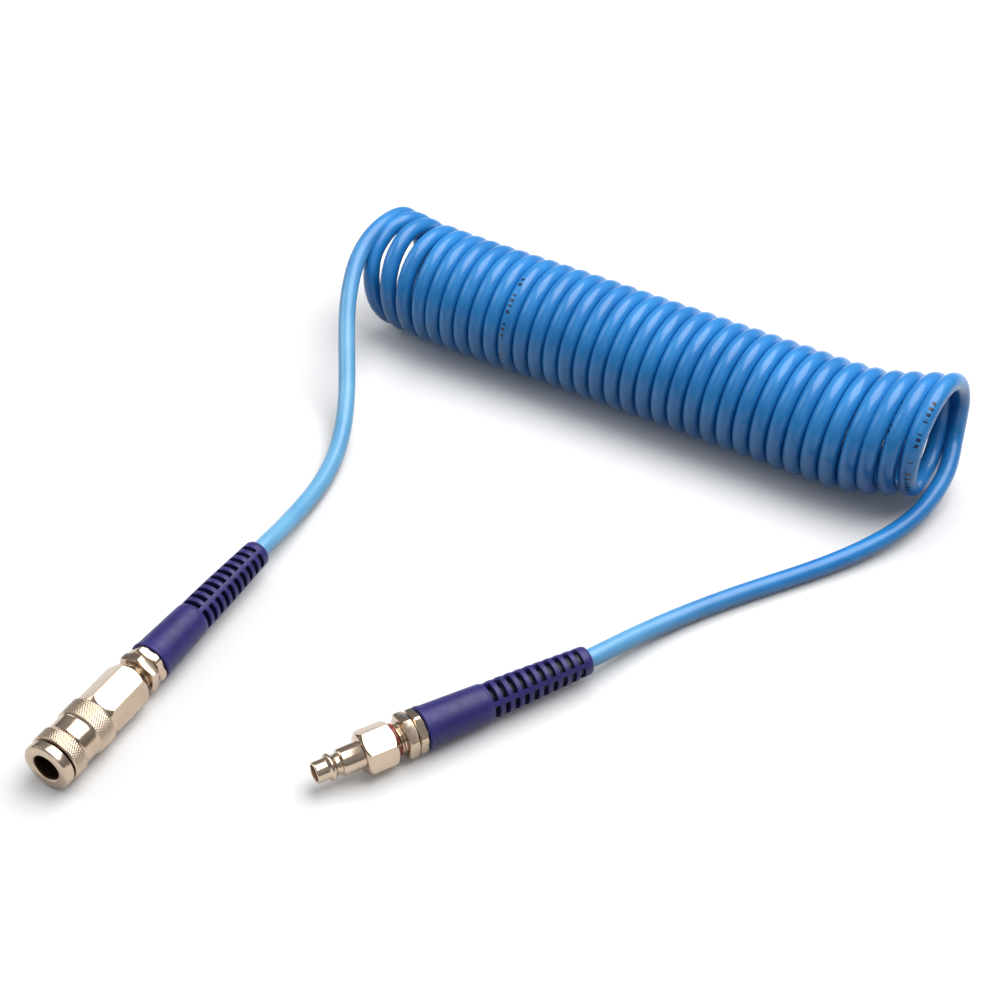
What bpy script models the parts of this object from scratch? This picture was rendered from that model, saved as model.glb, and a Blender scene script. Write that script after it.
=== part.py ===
"""Coiled air hose: a wound plastic hose with a quick coupler at one end and a plug nipple at the other.

Sizes are millimetres and angles are degrees until they are handed to Blender, which gets metres.
+Z is up, the hose lies on z = 0, and the coupler's axis runs along Y with its mouth towards -Y.
Each fitting has its own local frame: +Z runs from its mouth or tip towards the hose ("t" below).
"""
import math

import bmesh
import bpy
from mathutils import Matrix, Vector

MM = 0.001
GAP = 0.3                    # between pieces that touch in the real hose

# ---- hose -------------------------------------------------------------------------------------
HOSE_R = 5.0
COIL_R = 35.4                # outer radius of the wound part
COIL_LEFT = Vector((-172.75, 188.6, COIL_R))
COIL_RIGHT = Vector((176.05, 178.0, COIL_R))
COUPLER_TAIL = [(-178.3, 207.5, 58.7), (-181.0, 199.0, 64.3), (-183.4, 180.5, 63.9),
                (-180.6, 153.9, 54.9), (-172.1, 132.1, 43.6), (-160.5, 111.9, 31.4),
                (-147.9, 91.8, 20.4), (-136.5, 70.4, 11.8), (-127.6, 47.3, 6.9),
                (-121.8, 22.4, 5.5), (-118.4, -3.7, 7.2), (-115.8, -25.0, 10.4),
                (-114.3, -38.0, 12.8)]
PLUG_TAIL = [(182.2, 197.2, 13.4), (183.6, 172.2, 12.7), (178.9, 149.3, 10.7), (169.6, 128.1, 8.3),
             (157.5, 107.9, 6.4), (143.8, 88.4, 5.3), (129.6, 69.1, 5.2), (115.7, 49.7, 5.2),
             (103.0, 29.9, 5.5), (91.9, 9.2, 6.8), (83.4, -11.5, 9.6)]
TAIL_STEP = 14.0             # spacing of the points along a tail

# ---- coupler ----------------------------------------------------------------------------------
COUPLER_NOSE = Vector((-114.15, -223.4, 13.5))
COUPLER_YAW = 0.0
SOCKET_R = 7.1
BARREL_R = 8.4
NOSE_RING_R = 13.0
NOSE_RING_LEN = 5.3
SLEEVE_FRONT, SLEEVE_REAR = 6.3, 36.2
SLEEVE_KNURL_R = 13.5
SLEEVE_TRAVEL = 3.0
BALL_R = 1.7
BALL_T = 11.3
BALL_LOCKED_R = 7.15         # ball centres from the axis, sleeve forward
BALL_TRAVEL = 1.6
BALL_COUNT = 6
SEAT_T = 24.0
COUPLER_HEX_AF = 22.2
COUPLER_HEX_TURN = -95.7     # where one corner points, about the axis from local X
COUPLER_STEM_T = 69.5        # front face of the hose stem's hexagon

# ---- plug -------------------------------------------------------------------------------------
PLUG_TIP = Vector((-3.15, -163.3, 12.0))
PLUG_YAW = -30.88
PLUG_HEX_AF = 20.2
PLUG_HEX_TURN = -94.2
PLUG_STEM_T = 45.9

# ---- hose end, the same at both ends, measured from the stem hexagon's front face --------------
THREAD_R = 8.2
STEM_HEX_LEN = 5.7
NUT_HEX_LEN = 4.6
SPIGOT_LEN = 23.2
BEND_START = STEM_HEX_LEN + NUT_HEX_LEN + 2 * GAP
BEND_LEN = 94.3
END_HEX_AF = 20.2
SLOT_COUNT, SLOT_FIRST, SLOT_PITCH, SLOT_WIDTH, SLOT_FLOOR_R = 10, 38.0, 5.5, 2.7, 6.4
RIB_WIDTH = 2.4

FINE, MEDIUM, COARSE = 36, 28, 20      # segments round a turned piece


def clear_scene():
    for obj in list(bpy.data.objects):
        bpy.data.objects.remove(obj, do_unlink=True)
    for coll in list(bpy.data.collections):
        bpy.data.collections.remove(coll)


def new_collection(name):
    coll = bpy.data.collections.new(name)
    bpy.context.scene.collection.children.link(coll)
    return coll


def material(name, colour, roughness, metallic=0.0):
    mat = bpy.data.materials.new(name)
    mat.use_nodes = True
    shader = mat.node_tree.nodes["Principled BSDF"]
    shader.inputs["Base Color"].default_value = (*colour, 1.0)
    shader.inputs["Roughness"].default_value = roughness
    shader.inputs["Metallic"].default_value = metallic
    mat.diffuse_color = (*colour, 1.0)
    return mat


def fitting_frame(mouth, yaw):
    """Local +Z runs from the mouth towards the hose; local X stays level."""
    turn = Matrix.Rotation(math.radians(yaw), 4, "Z") @ Matrix.Rotation(math.radians(-90), 4, "X")
    return Matrix.Translation(mouth * MM) @ turn


def add_object(name, data, coll, mat=None, matrix=None):
    obj = bpy.data.objects.new(name, data)
    coll.objects.link(obj)
    if mat is not None:
        obj.data.materials.append(mat)
    if matrix is not None:
        obj.matrix_world = matrix
    return obj


def mesh_from(name, verts, edges=(), faces=()):
    mesh = bpy.data.meshes.new(name)
    mesh.from_pydata([tuple(c * MM for c in v) for v in verts], list(edges), list(faces))
    mesh.update()
    return mesh


def add_screw(obj, steps):
    screw = obj.modifiers.new("turn", "SCREW")
    screw.axis = "Z"
    screw.angle = 2 * math.pi
    screw.steps = screw.render_steps = steps
    screw.use_merge_vertices = True
    screw.merge_threshold = 0.00001
    screw.use_smooth_shade = True
    return screw


def turned(name, coll, mat, matrix, outer, inner=(), steps=MEDIUM):
    """outer and inner are (t, radius) lists from front to back; with no inner the piece is solid."""
    profile = [(r, 0.0, t) for t, r in reversed(outer)]
    if inner:
        profile += [(r, 0.0, t) for t, r in inner]
    else:
        profile = [(0.0, 0.0, outer[-1][0])] + profile + [(0.0, 0.0, outer[0][0])]
    count = len(profile)
    edges = [(i, i + 1) for i in range(count - 1)]
    if inner:
        edges.append((count - 1, 0))
    obj = add_object(name, mesh_from(name, profile, edges), coll, mat, matrix)
    add_screw(obj, steps)
    return obj


def ring(name, coll, mat, matrix, start, end, inner_r, outer_r, edge=0.25, steps=COARSE):
    """A washer or seal with broken outer edges."""
    outer = [(start, outer_r - edge), (start + edge, outer_r), (end - edge, outer_r),
             (end, outer_r - edge)]
    return turned(name, coll, mat, matrix, outer, [(start, inner_r), (end, inner_r)], steps)


def cutter(name, mesh, coll, matrix):
    obj = add_object(name, mesh, coll, None, matrix)
    obj.hide_render = True
    obj.display_type = "WIRE"
    return obj


def boolean(obj, other, operation="DIFFERENCE"):
    mod = obj.modifiers.new(other.name, "BOOLEAN")
    mod.operation = operation
    mod.solver = "EXACT"
    mod.object = other
    return mod


def prism(name, coll, matrix, across_flats, turn, start, end):
    """A hexagonal bar with one corner at the angle turn."""
    mesh = bpy.data.meshes.new(name)
    bm = bmesh.new()
    corner = across_flats / 2 / math.cos(math.pi / 6) * MM
    bmesh.ops.create_cone(bm, cap_ends=True, segments=6, radius1=corner, radius2=corner,
                          depth=(end - start) * MM)
    # create_cone puts a corner on +Y
    bmesh.ops.rotate(bm, verts=bm.verts, matrix=Matrix.Rotation(math.radians(turn - 90), 3, "Z"))
    bmesh.ops.translate(bm, verts=bm.verts, vec=(0, 0, (start + end) / 2 * MM))
    bm.to_mesh(mesh)
    bm.free()
    return cutter(name, mesh, coll, matrix)


def rod(name, coll, matrix, centre, direction, radius, length, segments=12):
    """A round cutter centred at a local point."""
    mesh = bpy.data.meshes.new(name)
    bm = bmesh.new()
    bmesh.ops.create_cone(bm, cap_ends=True, segments=segments, radius1=radius * MM,
                          radius2=radius * MM, depth=length * MM)
    bmesh.ops.rotate(bm, verts=bm.verts,
                     matrix=Vector((0, 0, 1)).rotation_difference(direction).to_matrix())
    bmesh.ops.translate(bm, verts=bm.verts, vec=centre * MM)
    bm.to_mesh(mesh)
    bm.free()
    return cutter(name, mesh, coll, matrix)


def block(name, coll, matrix, centre, size, turn=0.0):
    """A box cutter centred at a local point and turned about the fitting's axis."""
    mesh = bpy.data.meshes.new(name)
    bm = bmesh.new()
    bmesh.ops.create_cube(bm, size=1.0)
    bmesh.ops.scale(bm, verts=bm.verts, vec=Vector(size) * MM)
    bmesh.ops.translate(bm, verts=bm.verts, vec=Vector(centre) * MM)
    bmesh.ops.rotate(bm, verts=bm.verts, matrix=Matrix.Rotation(math.radians(turn), 3, "Z"))
    bm.to_mesh(mesh)
    bm.free()
    return cutter(name, mesh, coll, matrix)


def tube(name, coll, mat, points, radius, resolution, matrix=None):
    """A round bar with filled ends along a line of points."""
    curve = bpy.data.curves.new(name, "CURVE")
    curve.dimensions = "3D"
    curve.bevel_depth = radius * MM
    curve.bevel_resolution = resolution
    curve.use_fill_caps = True
    spline = curve.splines.new("POLY")
    spline.points.add(len(points) - 1)
    for slot, point in zip(spline.points, points):
        slot.co = (*(Vector(point) * MM), 1.0)
    return add_object(name, curve, coll, mat, matrix)


def smooth_route(points, step):
    """Points every step or so along a Catmull-Rom curve through the given points."""
    points = [Vector(p) for p in points]
    padded = [2 * points[0] - points[1]] + points + [2 * points[-1] - points[-2]]
    route = []
    for a, b, c, d in zip(padded, padded[1:], padded[2:], padded[3:]):
        count = max(1, round((c - b).length / step))
        for i in range(count):
            u = i / count
            route.append(0.5 * (2 * b + (c - a) * u + (2 * a - 5 * b + 4 * c - d) * u ** 2
                                + (3 * b - a - 3 * c + d) * u ** 3))
    return route + [points[-1]]


def helix(radius, start, end, turns, per_turn=11):
    count = round(turns * per_turn)
    return [(radius * math.cos(2 * math.pi * turns * i / count),
             radius * math.sin(2 * math.pi * turns * i / count),
             start + (end - start) * i / count) for i in range(count + 1)]


def shade(obj, angle=32.0):
    """Smooth shading that keeps edges sharper than the angle."""
    if obj.type != "MESH" or len(obj.modifiers) == 0 and len(obj.data.polygons) == 0:
        return
    for poly in obj.data.polygons:
        poly.use_smooth = True
    if obj.data.polygons:
        obj.data.set_sharp_from_angle(angle=math.radians(angle))


def build_coil(parts, mats):
    """The wound part as one ring of the coil's outer shape."""
    axis = COIL_RIGHT - COIL_LEFT
    turn = Vector((0, 0, 1)).rotation_difference(axis).to_matrix().to_4x4()
    matrix = Matrix.Translation(COIL_LEFT * MM) @ turn
    bore = COIL_R - 2 * HOSE_R
    length = axis.length
    ease = 2.0
    outer = [(0, COIL_R - ease), (ease, COIL_R), (length - ease, COIL_R), (length, COIL_R - ease)]
    inner = [(0, bore), (length, bore)]
    return turned("hose_coil", parts, mats["hose"], matrix, outer, inner, FINE)


def build_tail(name, parts, mats, route, frame, stem_t):
    """The uncoiled stretch, on into its bend sleeve as far as the stem's spigot."""
    def on_axis(t):
        return (frame @ Vector((0, 0, t * MM))) / MM
    mouth = stem_t + BEND_START + BEND_LEN
    inside = stem_t + SPIGOT_LEN + GAP
    points = smooth_route(route + [on_axis(mouth + 2), on_axis(mouth - 12)], TAIL_STEP)
    straight = [on_axis(mouth - 12 + (inside - mouth + 12) * i / 3) for i in (1, 2, 3)]
    return tube(name, parts, mats["hose_tail"], points + straight, HOSE_R, 4)


def build_hose_end(end, parts, cutters, mats, frame, stem_t, hex_turn, nut_turn, rib_turn):
    """Stem, union nut and bend sleeve that join the hose to a fitting."""
    matrix = frame @ Matrix.Translation((0, 0, stem_t * MM))
    hex_end = STEM_HEX_LEN
    stem_outer = [(-15.5, 7.4), (-14.7, THREAD_R), (-3.5, THREAD_R), (-3.1, 7.5), (-2.7, THREAD_R),
                  (-2.2, THREAD_R), (-1.8, 7.5), (-1.4, THREAD_R), (-0.9, THREAD_R), (-0.5, 7.5),
                  (0.0, 7.5), (0.0, 10.4), (0.7, 11.65), (hex_end - 0.7, 11.65), (hex_end, 10.4),
                  (hex_end, 6.9), (hex_end + 3.4, 6.9), (hex_end + 3.4, 3.1), (SPIGOT_LEN - 1.0, 3.1),
                  (SPIGOT_LEN, 2.8)]
    stem_inner = [(-15.5, 6.0), (-5.0, 6.0), (-2.5, 2.3), (SPIGOT_LEN, 2.3)]
    stem = turned("hose_stem_" + end, parts, mats["nickel"], matrix, stem_outer, stem_inner, COARSE)
    boolean(stem, prism("cut_stem_hex_" + end, cutters, matrix, END_HEX_AF, hex_turn, -20, 30),
            "INTERSECT")

    nut_start = hex_end + GAP
    nut_end = nut_start + NUT_HEX_LEN
    skirt_end = SPIGOT_LEN + 0.3
    nut_outer = [(nut_start, 10.4), (nut_start + 0.6, 11.3), (nut_end - 0.6, 11.3),
                 (nut_end, 10.6), (nut_end, 7.6), (skirt_end - 0.4, 7.6), (skirt_end, 7.2)]
    nut_inner = [(nut_start, 7.2), (nut_end - 0.8, 7.2), (nut_end - 0.8, 5.35), (skirt_end, 5.35)]
    nut = turned("union_nut_" + end, parts, mats["nickel"], matrix, nut_outer, nut_inner, COARSE)
    boolean(nut, prism("cut_nut_hex_" + end, cutters, matrix, END_HEX_AF, nut_turn, -20, 30),
            "INTERSECT")

    sleeve_matrix = matrix @ Matrix.Translation((0, 0, BEND_START * MM))
    socket = SPIGOT_LEN + 0.9 - BEND_START
    sleeve_outer = [(0, 11.0), (0.6, 11.4), (4, 10.85), (24, 10.2), (32, 9.9), (36, 9.3), (44, 9.3),
                    (59, 8.9), (74, 8.3), (89.2, 7.65), (92.8, 7.5), (BEND_LEN, 6.5)]
    sleeve_inner = [(0, 7.9), (socket, 7.9), (socket, 5.35), (BEND_LEN, 5.35)]
    sleeve = turned("bend_sleeve_" + end, parts, mats["sleeve"], sleeve_matrix, sleeve_outer,
                    sleeve_inner, COARSE)
    rings = slot_rings(end, cutters, sleeve_matrix, rib_turn)
    boolean(sleeve, rings)


def slot_rings(end, cutters, matrix, rib_turn):
    """Ten deep grooves round the sleeve, each broken by four ribs."""
    verts, edges = [], []
    for i in range(SLOT_COUNT):
        middle = SLOT_FIRST + i * SLOT_PITCH
        low, high = middle - SLOT_WIDTH / 2, middle + SLOT_WIDTH / 2
        base = len(verts)
        verts += [(12.0, 0, high), (12.0, 0, low), (SLOT_FLOOR_R, 0, low), (SLOT_FLOOR_R, 0, high)]
        edges += [(base + k, base + (k + 1) % 4) for k in range(4)]
    rings = cutter("cut_slots_" + end, mesh_from("cut_slots_" + end, verts, edges), cutters, matrix)
    add_screw(rings, COARSE)
    for i, turn in enumerate((rib_turn, rib_turn + 90)):
        rib = block("cut_rib_%d_%s" % (i, end), cutters, matrix, (0, 0, 62), (30, RIB_WIDTH, 80), turn)
        boolean(rings, rib)
    return rings


def build_coupler(parts, cutters, mats):
    frame = fitting_frame(COUPLER_NOSE, COUPLER_YAW)

    barrel_outer = [(0, 12.2), (0.8, NOSE_RING_R), (NOSE_RING_LEN, NOSE_RING_R),
                    (NOSE_RING_LEN, BARREL_R), (36.0, BARREL_R)]
    barrel_inner = [(0, 8.0), (0.9, SOCKET_R), (16.8, SOCKET_R), (16.8, 5.6), (18.0, 5.6),
                    (18.0, 7.3), (21.0, 7.3), (21.0, 5.6), (SEAT_T, 5.6), (SEAT_T, 6.9), (36.0, 6.9)]
    barrel = turned("coupler_barrel", parts, mats["nickel"], frame, barrel_outer, barrel_inner, FINE)
    for i in range(BALL_COUNT):
        angle = math.radians(30 + i * 360 / BALL_COUNT)
        out = Vector((math.cos(angle), math.sin(angle), 0))
        hole = rod("cut_ball_hole_%d" % (i + 1), cutters, frame,
                   out * 8.0 + Vector((0, 0, BALL_T)), out, BALL_R + 0.13, 4.0)
        boolean(barrel, hole)
        add_ball(i + 1, parts, mats, frame, out)

    # the cone over the balls lets them out at the rate the sleeve is drawn back
    slope = BALL_TRAVEL / SLEEVE_TRAVEL
    lean = math.atan(slope)
    touch_t = BALL_T + BALL_R * math.sin(lean)
    touch_r = BALL_LOCKED_R + BALL_R * math.cos(lean) + 0.07
    land_t = 12.5

    def cone_r(t):
        return touch_r + slope * (touch_t - t)
    lock_outer = [(SLEEVE_FRONT, 13.0), (SLEEVE_FRONT + 0.6, SLEEVE_KNURL_R), (14.2, SLEEVE_KNURL_R),
                  (15.5, 12.5), (24.2, 12.5), (25.2, 13.4), (35.7, 13.4), (SLEEVE_REAR, 13.1)]
    lock_inner = [(SLEEVE_FRONT, cone_r(SLEEVE_FRONT)), (land_t, cone_r(land_t)), (18.0, 8.5),
                  (18.0, 11.0), (33.2, 11.0), (SLEEVE_REAR, 12.9)]
    turned("lock_sleeve", parts, mats["nickel"], frame, lock_outer, lock_inner, FINE)

    body_outer = [(31.0, 10.4), (31.5, 10.9), (37.4, 10.9), (40.4, 13.0), (62.5, 13.0), (66.0, 10.0)]
    body_inner = [(31.0, 8.7), (37.6, 8.7), (37.6, 6.9), (44.0, 6.9), (44.0, 2.1), (46.5, 2.1),
                  (46.5, 6.9), (51.0, 6.9), (51.0, 8.5), (65.3, 8.5), (66.0, 9.2)]
    body = turned("coupler_body", parts, mats["nickel"], frame, body_outer, body_inner, FINE)
    boolean(body, prism("cut_body_hex", cutters, frame, COUPLER_HEX_AF, COUPLER_HEX_TURN, 20, 80),
            "INTERSECT")
    for i in range(4):
        angle = math.radians(45 + 90 * i)
        centre = Vector((5.3 * math.cos(angle), 5.3 * math.sin(angle), 45.25))
        boolean(body, rod("cut_flow_%d" % (i + 1), cutters, frame, centre, Vector((0, 0, 1)), 1.2, 6))

    ring("plug_seal", parts, mats["rubber"], frame, 18.3, 20.7, 5.35, 7.0)
    ring("barrel_seal", parts, mats["rubber"], frame, 36.2, 37.4, 7.2, 8.4)
    ring("valve_seal", parts, mats["rubber"], frame, SEAT_T + GAP, 25.7, 5.15, 6.6)
    poppet_outer = [(19.0, 4.3), (19.6, 4.9), (26.0, 4.9), (26.0, 6.6), (28.0, 6.6), (28.0, 2.0),
                    (45.4, 2.0), (46.0, 1.5)]
    poppet = turned("valve_poppet", parts, mats["brass"], frame, poppet_outer, steps=COARSE)
    for i in range(2):
        slot = block("cut_crown_%d" % (i + 1), cutters, frame, (0, 0, 19.5), (14, 1.8, 6), 90 * i + 45)
        boolean(poppet, slot)
    tube("sleeve_spring", parts, mats["spring"], helix(9.7, 19.0, 30.0, 4.5), 0.55, 2, frame)
    tube("valve_spring", parts, mats["spring"], helix(3.3, 28.9, 43.1, 5.5, 9), 0.5, 2, frame)
    build_hose_end("coupler", parts, cutters, mats, frame, COUPLER_STEM_T, -81.0, -103.0, -54.7)
    return frame


def add_ball(number, parts, mats, frame, out):
    """A locking ball, with its own origin at its centre."""
    mesh = bpy.data.meshes.new("lock_ball_%d" % number)
    bm = bmesh.new()
    bmesh.ops.create_uvsphere(bm, u_segments=10, v_segments=7, radius=BALL_R * MM)
    bm.to_mesh(mesh)
    bm.free()
    centre = Matrix.Translation((out * BALL_LOCKED_R + Vector((0, 0, BALL_T))) * MM)
    add_object("lock_ball_%d" % number, mesh, parts, mats["steel"], frame @ centre)


def build_plug(parts, cutters, mats):
    frame = fitting_frame(PLUG_TIP, PLUG_YAW)
    outer = [(0, 4.95), (0.4, 5.3), (6.3, 5.3), (7.2, 6.6), (7.8, 6.95), (8.5, 6.8), (10.7, 5.2),
             (12.7, 5.2), (13.3, 6.4), (13.9, 6.75), (24.3, 6.75), (24.3, 9.8),
             (26.0, 11.65), (39.3, 11.65), (41.0, 9.8)]
    inner = [(0, 4.5), (0.3, 4.2), (27.5, 4.2), (29.0, 8.5), (40.4, 8.5), (41.0, 9.1)]
    nipple = turned("plug_nipple", parts, mats["nickel"], frame, outer, inner, FINE)
    boolean(nipple, prism("cut_plug_hex", cutters, frame, PLUG_HEX_AF, PLUG_HEX_TURN, -5, 60),
            "INTERSECT")
    ring("thread_seal_plug", parts, mats["sealant"], frame, 41.3, 43.3, 8.45, 9.3, 0.4)
    build_hose_end("plug", parts, cutters, mats, frame, PLUG_STEM_T, -82.0, -79.0, -30.2)
    return frame


def main():
    clear_scene()
    parts = new_collection("coiled_air_hose")
    cutters = new_collection("cutters")
    mats = {
        "hose": material("hose_blue", (0.03, 0.16, 0.52), 0.28),
        "hose_tail": material("hose_blue_pale", (0.07, 0.26, 0.62), 0.25),
        "sleeve": material("sleeve_indigo", (0.03, 0.025, 0.17), 0.55),
        "nickel": material("nickel", (0.62, 0.52, 0.40), 0.25, 1.0),
        "brass": material("brass", (0.72, 0.52, 0.22), 0.35, 1.0),
        "steel": material("ball_steel", (0.6, 0.6, 0.62), 0.2, 1.0),
        "spring": material("spring_steel", (0.45, 0.45, 0.47), 0.35, 1.0),
        "rubber": material("seal_rubber", (0.02, 0.02, 0.02), 0.7),
        "sealant": material("thread_sealant", (0.42, 0.04, 0.015), 0.5),
    }
    build_coil(parts, mats)
    coupler = build_coupler(parts, cutters, mats)
    plug = build_plug(parts, cutters, mats)
    build_tail("hose_tail_coupler", parts, mats, COUPLER_TAIL, coupler, COUPLER_STEM_T)
    build_tail("hose_tail_plug", parts, mats, PLUG_TAIL, plug, PLUG_STEM_T)
    for obj in parts.objects:
        shade(obj)


main()
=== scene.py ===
"""Coiled air hose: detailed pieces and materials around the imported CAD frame, in metres."""

import math

import bmesh
import bpy
import numpy as np
from mathutils import Matrix, Vector


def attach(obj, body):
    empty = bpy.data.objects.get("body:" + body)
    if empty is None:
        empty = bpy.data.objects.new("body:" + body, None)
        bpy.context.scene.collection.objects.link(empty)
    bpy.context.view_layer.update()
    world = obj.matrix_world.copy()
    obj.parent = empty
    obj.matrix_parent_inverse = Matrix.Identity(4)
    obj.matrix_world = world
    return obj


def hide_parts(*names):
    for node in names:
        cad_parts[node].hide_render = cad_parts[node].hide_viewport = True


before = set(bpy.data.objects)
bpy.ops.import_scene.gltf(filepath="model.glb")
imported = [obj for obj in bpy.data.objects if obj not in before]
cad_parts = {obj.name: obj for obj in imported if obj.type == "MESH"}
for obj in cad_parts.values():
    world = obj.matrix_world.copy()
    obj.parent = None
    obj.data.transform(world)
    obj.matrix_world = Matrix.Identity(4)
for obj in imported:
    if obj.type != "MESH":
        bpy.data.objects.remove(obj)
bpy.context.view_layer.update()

MM = 0.001
ROOT = "hose_assembly"

# ---- sizes, in millimetres --------------------------------------------------------------------
# The fittings stand where they stand in the CAD part. The tails start at the drawn coil's loose end
# turns, up to about 9 mm from where they start in the CAD part.
SHIFT = Vector((-30.75, 65.0, 0.0))          # from the frame of the coil's numbers to the part's
HOSE_R = 5.0
COUPLER_TAIL = [(-181.7, 186.0, 66.2), (-183.6, 171.0, 61.0), (-180.8, 154.5, 54.9),
                (-172.1, 132.1, 43.6), (-160.5, 111.9, 31.4), (-147.9, 91.8, 20.4),
                (-136.5, 70.4, 11.8), (-127.6, 47.3, 6.9), (-121.8, 22.4, 5.5),
                (-118.4, -3.7, 7.2), (-115.8, -25.0, 10.4), (-114.3, -38.0, 12.8)]
PLUG_TAIL = [(183.6, 191.5, 20.5), (182.6, 170.5, 13.2), (178.9, 149.3, 10.7), (169.6, 128.1, 8.3),
             (157.5, 107.9, 6.4), (143.8, 88.4, 5.3), (129.6, 69.1, 5.2), (115.7, 49.7, 5.2),
             (103.0, 29.9, 5.5), (91.9, 9.2, 6.8), (83.4, -11.5, 9.6)]
COUPLER_NOSE, COUPLER_YAW = Vector((-114.15, -223.4, 13.5)), 0.0
PLUG_TIP, PLUG_YAW = Vector((-3.15, -163.3, 12.0)), -30.88
COUPLER_STEM_T, PLUG_STEM_T = 69.5, 45.9
STEM_HEX_LEN, NUT_HEX_LEN, SPIGOT_LEN, GAP = 5.7, 4.6, 23.2, 0.3
BEND_START = STEM_HEX_LEN + NUT_HEX_LEN + 2 * GAP
BEND_LEN = 94.3
THREAD_R = 8.2
END_HEX_AF = 20.2
COUPLER_RIB, PLUG_RIB = -54.7, -30.2
COUPLER_END_HEX, COUPLER_NUT_HEX = -81.0, -103.0
PLUG_END_HEX, PLUG_NUT_HEX = -82.0, -79.0


def fitting_frame(mouth, yaw):
    turn = Matrix.Rotation(math.radians(yaw), 4, "Z") @ Matrix.Rotation(math.radians(-90), 4, "X")
    return Matrix.Translation(mouth * MM) @ turn


COUPLER = fitting_frame(COUPLER_NOSE, COUPLER_YAW)
PLUG = fitting_frame(PLUG_TIP, PLUG_YAW)


# ---- camera -----------------------------------------------------------------------------------
LENS = 69.5
CAMERA_PLACE = Vector((370.25, -651.6, 697.0))
CAMERA_AIM = Vector((-30.75, 65.0, 0.0))


def make_camera():
    data = bpy.data.cameras.new("camera")
    data.lens = LENS
    data.sensor_width = 36.0
    data.clip_end = 20.0
    cam = bpy.data.objects.new("camera", data)
    bpy.context.scene.collection.objects.link(cam)
    place = CAMERA_PLACE * MM
    aim = CAMERA_AIM * MM
    cam.location = place
    cam.rotation_euler = (aim - place).to_track_quat("-Z", "Y").to_euler()
    bpy.context.scene.camera = cam


# ---- mesh helpers -----------------------------------------------------------------------------
def link(name, mesh, mats, matrix=None):
    obj = bpy.data.objects.new(name, mesh)
    bpy.context.scene.collection.objects.link(obj)
    for mat in mats if isinstance(mats, (list, tuple)) else [mats]:
        obj.data.materials.append(mat)
    if matrix is not None:
        obj.matrix_world = matrix
    return obj


def grid(name, rows, mats, matrix=None, cap=False, wrap_rows=False):
    """A surface through rows of points, in millimetres; each row is a closed loop."""
    rows = np.asarray(rows, float)
    count, width = rows.shape[:2]
    faces = []
    row_pairs = [(i, (i + 1) % count) for i in range(count if wrap_rows else count - 1)]
    for i, j in row_pairs:
        for k in range(width):
            m = (k + 1) % width
            faces.append((i * width + k, i * width + m, j * width + m, j * width + k))
    if cap:
        faces.append(tuple(range(width))[::-1])
        faces.append(tuple((count - 1) * width + k for k in range(width)))
    mesh = bpy.data.meshes.new(name)
    mesh.from_pydata((rows.reshape(-1, 3) * MM).tolist(), [], faces)
    mesh.update()
    fix_normals(mesh)
    return link(name, mesh, mats, matrix)


def fix_normals(mesh):
    bm = bmesh.new()
    bm.from_mesh(mesh)
    bmesh.ops.recalc_face_normals(bm, faces=bm.faces)
    bm.to_mesh(mesh)
    bm.free()


def smooth(obj, angle=30.0):
    for poly in obj.data.polygons:
        poly.use_smooth = True
    obj.data.set_sharp_from_angle(angle=math.radians(angle))


def around(count, start=0.0):
    return start + np.arange(count) * 2 * math.pi / count


def lathe(name, profile, mats, matrix, steps=96):
    """A closed (t, r) loop turned about the fitting's axis."""
    angle = around(steps)
    rows = [np.stack([r * np.cos(angle), r * np.sin(angle), np.full(steps, t)], 1)
            for t, r in profile]
    return grid(name, rows, mats, matrix, wrap_rows=True)


def loop(outer, inner):
    """A closed profile: along the outside, then back along the inside."""
    return list(outer) + list(reversed(inner))


def evaluated(obj):
    """Replace the mesh by the evaluated one and drop the modifiers."""
    deps = bpy.context.evaluated_depsgraph_get()
    mesh = bpy.data.meshes.new_from_object(obj.evaluated_get(deps))
    obj.modifiers.clear()
    obj.data = mesh


def boolean(obj, tools, operation):
    for tool in tools:
        mod = obj.modifiers.new("cut", "BOOLEAN")
        mod.operation, mod.solver, mod.object = operation, "EXACT", tool
    bpy.context.view_layer.update()
    evaluated(obj)
    for tool in tools:
        bpy.data.objects.remove(tool, do_unlink=True)


def hexagon(matrix, across_flats, turn, start, end):
    corner = across_flats / 2 / math.cos(math.pi / 6)
    angle = around(6, math.radians(turn))
    rows = [np.stack([corner * np.cos(angle), corner * np.sin(angle), np.full(6, t)], 1)
            for t in (start, end)]
    return grid("hex_tool", rows, [], matrix, cap=True)


def soften_edges(obj, width=0.18, segments=2, angle=26.0):
    mod = obj.modifiers.new("edge", "BEVEL")
    mod.width, mod.segments = width * MM, segments
    mod.limit_method, mod.angle_limit = "ANGLE", math.radians(angle)
    mod.harden_normals = False
    mod.use_clamp_overlap = True
    bpy.context.view_layer.update()
    evaluated(obj)
    smooth(obj, 38)


def ride(obj, body, slot, *nodes):
    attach(obj, body)
    if nodes:
        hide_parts(*nodes)


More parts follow.
